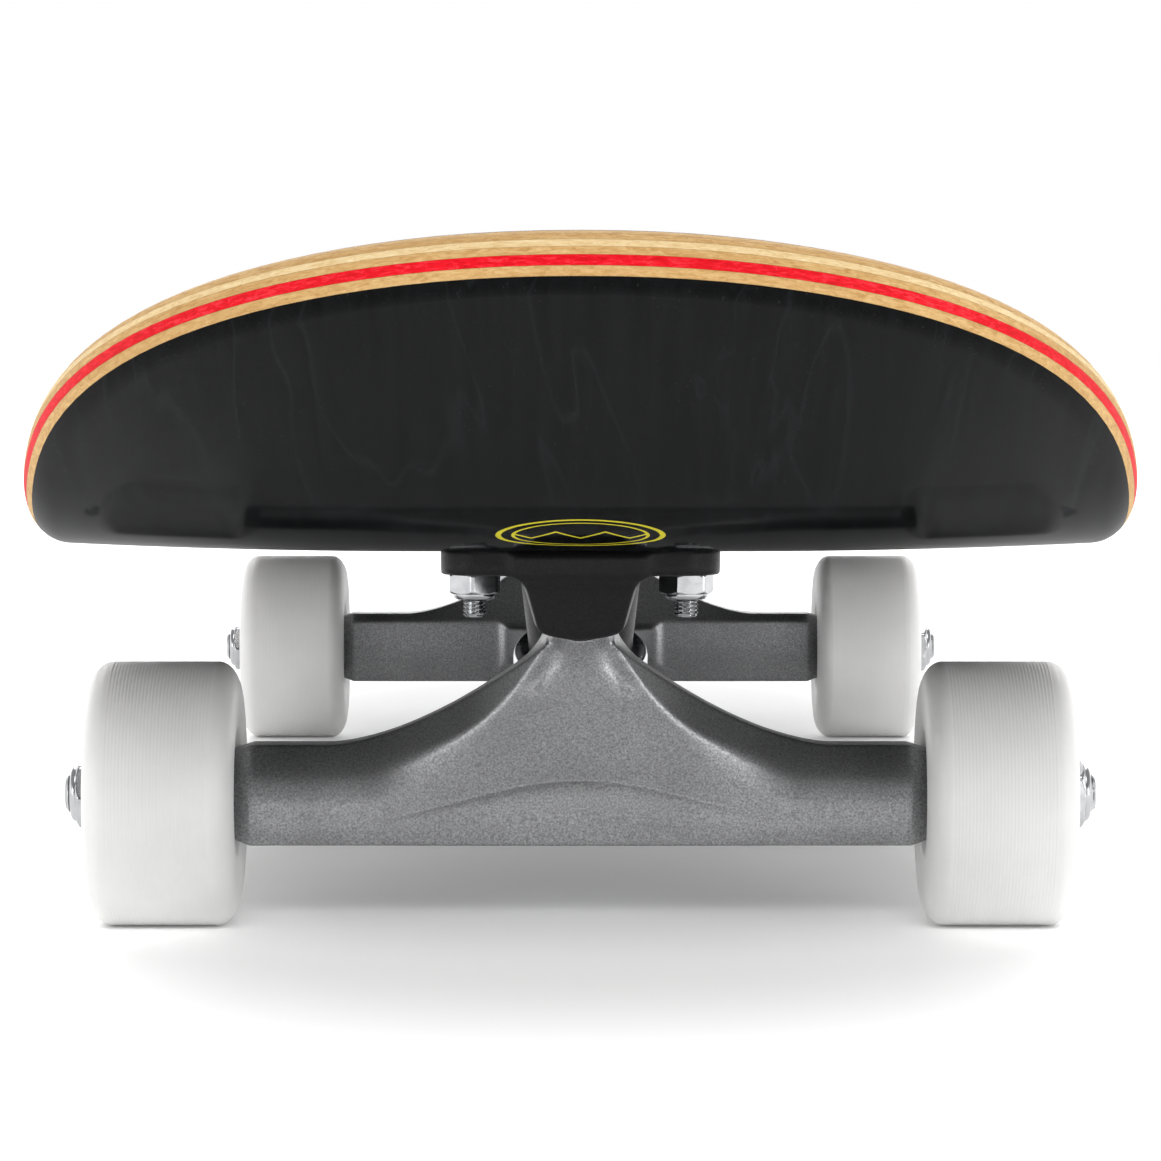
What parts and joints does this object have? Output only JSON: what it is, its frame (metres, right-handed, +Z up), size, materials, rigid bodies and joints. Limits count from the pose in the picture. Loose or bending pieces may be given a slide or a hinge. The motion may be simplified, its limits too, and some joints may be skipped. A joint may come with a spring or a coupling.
{
  "type": "skateboard",
  "caption": "Street skateboard: laminated maple deck with upturned nose and tail, grip tape, cast trucks that steer on a kingpin, and white urethane wheels.",
  "frame": {"origin": "on the ground, at the middle of the board's length and width", "axes": "+Y along the board towards the tail, with the nose at -Y; +X across the board; +Z up"},
  "size_m": [0.2064, 0.8128, 0.1355],
  "materials": {
    "grip_tape": "coarse black mineral grit on a thin adhesive sheet",
    "natural_maple": "natural maple veneers with a satin sanded rim",
    "red_maple": "maple veneer dyed red, satin sanded rim",
    "black_stained_maple": "black gloss lacquer with the grain showing faintly",
    "black_painted_baseplate": "cast aluminium with satin black paint",
    "cast_hanger": "cast aluminium, gun-metal grey with a fine grain",
    "steel": "ground steel",
    "chromed_steel": "bright zinc or chrome plate",
    "bushing_urethane": "matt black urethane",
    "pivot_urethane": "matt black urethane",
    "white_urethane": "white urethane with a lathe-turned tread"
  },
  "bodies": {
    "board": {"deck_lower_plies": "black_stained_maple", "deck_red_ply": "red_maple", "deck_upper_plies": "natural_maple", "grip_tape": "grip_tape", "bolt_front_outer_left": "chromed_steel", "nut_front_outer_left": "chromed_steel", "bolt_front_outer_right": "chromed_steel", "nut_front_outer_right": "chromed_steel", "bolt_front_inner_left": "chromed_steel", "nut_front_inner_left": "chromed_steel", "bolt_front_inner_right": "chromed_steel", "nut_front_inner_right": "chromed_steel", "bolt_rear_outer_left": "chromed_steel", "nut_rear_outer_left": "chromed_steel", "bolt_rear_outer_right": "chromed_steel", "nut_rear_outer_right": "chromed_steel", "bolt_rear_inner_left": "chromed_steel", "nut_rear_inner_left": "chromed_steel", "bolt_rear_inner_right": "chromed_steel", "nut_rear_inner_right": "chromed_steel", "front_baseplate": "black_painted_baseplate", "front_pivot_cup": "pivot_urethane", "front_kingpin": "steel", "front_kingpin_nut": "steel", "front_upper_washer": "chromed_steel", "front_lower_washer": "chromed_steel", "front_upper_bushing": "bushing_urethane", "front_lower_bushing": "bushing_urethane", "rear_baseplate": "black_painted_baseplate", "rear_pivot_cup": "pivot_urethane", "rear_kingpin": "steel", "rear_kingpin_nut": "steel", "rear_upper_washer": "chromed_steel", "rear_lower_washer": "chromed_steel", "rear_upper_bushing": "bushing_urethane", "rear_lower_bushing": "bushing_urethane"},
    "front_truck": {"front_hanger": "cast_hanger", "front_axle": "steel", "front_left_bearing_sleeve": "steel", "front_left_axle_nut": "chromed_steel", "front_right_bearing_sleeve": "steel", "front_right_axle_nut": "chromed_steel"},
    "front_left_wheel_assembly": {"front_left_wheel": "white_urethane", "front_left_bearing_outboard": "steel", "front_left_bearing_inboard": "steel"},
    "front_right_wheel_assembly": {"front_right_wheel": "white_urethane", "front_right_bearing_outboard": "steel", "front_right_bearing_inboard": "steel"},
    "rear_truck": {"rear_hanger": "cast_hanger", "rear_axle": "steel", "rear_left_bearing_sleeve": "steel", "rear_left_axle_nut": "chromed_steel", "rear_right_bearing_sleeve": "steel", "rear_right_axle_nut": "chromed_steel"},
    "rear_left_wheel_assembly": {"rear_left_wheel": "white_urethane", "rear_left_bearing_outboard": "steel", "rear_left_bearing_inboard": "steel"},
    "rear_right_wheel_assembly": {"rear_right_wheel": "white_urethane", "rear_right_bearing_outboard": "steel", "rear_right_bearing_inboard": "steel"}
  },
  "joints": [
    {"name": "front_steer", "type": "hinge", "parent": "board", "child": "front_truck", "pos_m": [0, -0.17609, 0.036], "axis": [0, 0.8649, -0.5019], "range_deg": [-15, 15], "stiffness_Nm_per_rad": 25, "deforming": ["front_upper_bushing", "front_lower_bushing"]},
    {"name": "front_left_wheel_spin", "type": "hinge", "parent": "front_truck", "child": "front_left_wheel_assembly", "pos_m": [-0.0832, -0.20809, 0.0265], "axis": [1, 0, 0], "continuous": true},
    {"name": "front_right_wheel_spin", "type": "hinge", "parent": "front_truck", "child": "front_right_wheel_assembly", "pos_m": [0.0832, -0.20809, 0.0265], "axis": [1, 0, 0], "continuous": true},
    {"name": "rear_steer", "type": "hinge", "parent": "board", "child": "rear_truck", "pos_m": [0, 0.18531, 0.036], "axis": [0, -0.8649, -0.5019], "range_deg": [-15, 15], "stiffness_Nm_per_rad": 25, "deforming": ["rear_upper_bushing", "rear_lower_bushing"]},
    {"name": "rear_left_wheel_spin", "type": "hinge", "parent": "rear_truck", "child": "rear_left_wheel_assembly", "pos_m": [-0.0832, 0.21731, 0.0265], "axis": [1, 0, 0], "continuous": true},
    {"name": "rear_right_wheel_spin", "type": "hinge", "parent": "rear_truck", "child": "rear_right_wheel_assembly", "pos_m": [0.0832, 0.21731, 0.0265], "axis": [1, 0, 0], "continuous": true}
  ]
}
